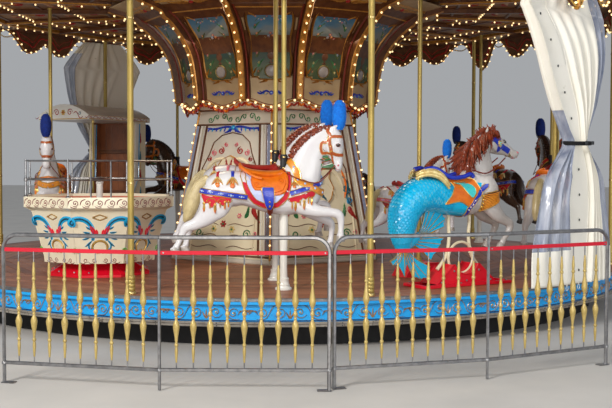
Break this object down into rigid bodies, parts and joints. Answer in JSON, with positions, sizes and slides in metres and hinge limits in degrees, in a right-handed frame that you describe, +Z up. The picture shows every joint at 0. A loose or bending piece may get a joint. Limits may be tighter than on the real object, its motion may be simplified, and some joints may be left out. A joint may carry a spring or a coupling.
{
  "type": "fairground carousel",
  "caption": "Round fairground ride: a turning boarded deck with posts, drums, a scalloped canopy, jumping horses, a spinning tub, a coach and a barrier in front.",
  "frame": {"origin": "on the carousel's turning axis at ground level", "axes": "+Z up along the turning axis, -Y towards the front with the barrier, +X to the right"},
  "size_m": [8.37, 9.8397, 5.9603],
  "materials": {
    "base_steel": "dark painted structural steel",
    "bearing_steel": "machined bearing steel",
    "skirt_rubber": "matt black skirt",
    "barrier_metal": "galvanised tube with gold painted spindles and a red rail",
    "deck_wood": "varnished red-brown boards, worn",
    "rim_metal": "grey edge strip",
    "fascia_paint": "sky-blue paint with gilt carved scrolls",
    "old_timber": "weathered grey timber",
    "gold_metal": "olive-gold painted steel tube",
    "column_paint": "grey painted steel",
    "drum_panel": "grey-cream painted panels with carved ornament",
    "gilt_frame": "gilt and brown carved frames",
    "ceiling_wood": "brown and gold painted boards",
    "board_gilt": "gilt scalloped boards with painted garlands",
    "roof_cloth": "coated roof cloth",
    "finial_gilt": "polished",
    "horse_paint": "glossy painted fibreglass",
    "bay_horse_paint": "glossy painted fibreglass",
    "sea_horse_paint": "glossy painted fibreglass",
    "red_paint": "gloss red paint",
    "tub_paint": "cream paint with coloured ornament",
    "rail_steel": "bright tube",
    "coach_paint": "brown paint with cream carved edges",
    "coach_roof": "white paint with red scrolls",
    "curtain_cloth": "white coated cloth with clear side windows"
  },
  "bodies": {
    "base": {"base_frame": "base_steel", "base_skirt": "skirt_rubber", "turntable_bearing": "bearing_steel", "fence_panel_1": "barrier_metal", "fence_panel_2": "barrier_metal"},
    "platform": {"platform_frame": "base_steel", "deck": "deck_wood", "deck_rim": "rim_metal", "fascia_band": "fascia_paint", "lower_rim": "old_timber", "centre_column": "column_paint", "lower_drum": "drum_panel", "upper_drum": "gilt_frame", "ceiling_frame": "ceiling_wood", "rounding_boards": "board_gilt", "roof_canopy": "roof_cloth", "roof_finial": "finial_gilt", "hippocampus": "sea_horse_paint", "hippocampus_stand": "red_paint", "inner_pony": "horse_paint", "pony_stand": "red_paint", "tub_base": "red_paint", "coach_body": "coach_paint", "coach_canopy": "coach_roof", "curtain_1": "curtain_cloth", "curtain_2": "curtain_cloth", "outer_post_01": "gold_metal", "outer_post_02": "gold_metal", "outer_post_03": "gold_metal", "outer_post_04": "gold_metal", "outer_post_05": "gold_metal", "outer_post_06": "gold_metal", "outer_post_07": "gold_metal", "outer_post_08": "gold_metal", "outer_post_09": "gold_metal", "outer_post_10": "gold_metal", "outer_post_11": "gold_metal", "outer_post_12": "gold_metal", "guide_pole_01": "gold_metal", "guide_pole_02": "gold_metal", "guide_pole_03": "gold_metal", "guide_pole_04": "gold_metal", "guide_pole_05": "gold_metal", "guide_pole_06": "gold_metal", "guide_pole_07": "gold_metal", "guide_pole_08": "gold_metal"},
    "tub": {"tub_shell": "tub_paint", "tub_rail": "rail_steel"},
    "horse_01_body": {"horse_01": "horse_paint"},
    "horse_02_body": {"horse_02": "horse_paint"},
    "horse_03_body": {"horse_03": "horse_paint"},
    "horse_04_body": {"horse_04": "bay_horse_paint"},
    "horse_05_body": {"horse_05": "bay_horse_paint"},
    "horse_06_body": {"horse_06": "bay_horse_paint"},
    "horse_07_body": {"horse_07": "bay_horse_paint"},
    "horse_08_body": {"horse_08": "horse_paint"}
  },
  "joints": [
    {"name": "platform_turn", "type": "hinge", "parent": "base", "child": "platform", "pos_m": [0, 0, 0.345], "axis": [0, 0, 1], "continuous": true},
    {"name": "tub_turn", "type": "hinge", "parent": "platform", "child": "tub", "pos_m": [-1.73617, -2.22219, 0.6], "axis": [0, 0, 1], "continuous": true},
    {"name": "horse_01_rise", "type": "slide", "parent": "platform", "child": "horse_01_body", "axis": [0, 0, 1], "range_m": [-0.12, 0.12]},
    {"name": "horse_02_rise", "type": "slide", "parent": "platform", "child": "horse_02_body", "axis": [0, 0, 1], "range_m": [-0.12, 0.12]},
    {"name": "horse_03_rise", "type": "slide", "parent": "platform", "child": "horse_03_body", "axis": [0, 0, 1], "range_m": [-0.12, 0.12]},
    {"name": "horse_04_rise", "type": "slide", "parent": "platform", "child": "horse_04_body", "axis": [0, 0, 1], "range_m": [-0.12, 0.12]},
    {"name": "horse_05_rise", "type": "slide", "parent": "platform", "child": "horse_05_body", "axis": [0, 0, 1], "range_m": [-0.12, 0.12]},
    {"name": "horse_06_rise", "type": "slide", "parent": "platform", "child": "horse_06_body", "axis": [0, 0, 1], "range_m": [-0.12, 0.12]},
    {"name": "horse_07_rise", "type": "slide", "parent": "platform", "child": "horse_07_body", "axis": [0, 0, 1], "range_m": [-0.12, 0.12]},
    {"name": "horse_08_rise", "type": "slide", "parent": "platform", "child": "horse_08_body", "axis": [0, 0, 1], "range_m": [-0.12, 0.12]}
  ],
  "couplings": [
    {"joint": "horse_02_rise", "follows": "horse_01_rise", "ratio": -1},
    {"joint": "horse_03_rise", "follows": "horse_01_rise", "ratio": 1},
    {"joint": "horse_04_rise", "follows": "horse_01_rise", "ratio": -1},
    {"joint": "horse_05_rise", "follows": "horse_01_rise", "ratio": 1},
    {"joint": "horse_06_rise", "follows": "horse_01_rise", "ratio": -1},
    {"joint": "horse_07_rise", "follows": "horse_01_rise", "ratio": 1},
    {"joint": "horse_08_rise", "follows": "horse_01_rise", "ratio": -1}
  ]
}
